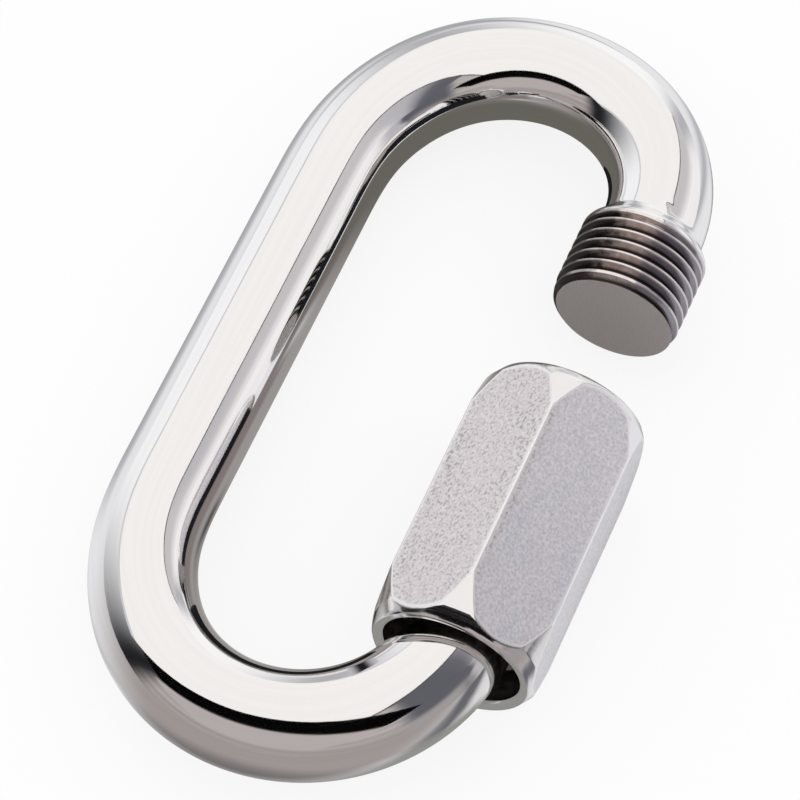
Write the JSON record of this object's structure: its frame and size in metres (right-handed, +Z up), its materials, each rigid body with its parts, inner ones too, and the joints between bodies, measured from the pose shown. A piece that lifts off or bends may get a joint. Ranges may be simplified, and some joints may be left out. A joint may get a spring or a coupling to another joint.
{
  "type": "chain quick link",
  "caption": "Oval link of round steel bar with a gap in one leg, closed by a long hexagonal sleeve nut that screws across the gap.",
  "frame": {"origin": "on the floor, under the centre of the whole as it lies open", "axes": "+Z up from the floor; +Y along the legs, the way the nut travels to close the link; +X from the plain leg to the leg with the nut"},
  "size_m": [0.0351, 0.0684, 0.0142],
  "materials": {
    "polished_steel": "mirror polished stainless steel bar, as-machined threads",
    "nut_steel": "blasted flats with turned bright chamfers"
  },
  "bodies": {
    "link": {"link_body": "polished_steel"},
    "nut": {"sleeve_nut": "nut_steel"}
  },
  "joints": [
    {"name": "nut_travel", "type": "slide", "parent": "link", "child": "nut", "axis": [0, 1, 0], "range_m": [0, 0.015]}
  ]
}
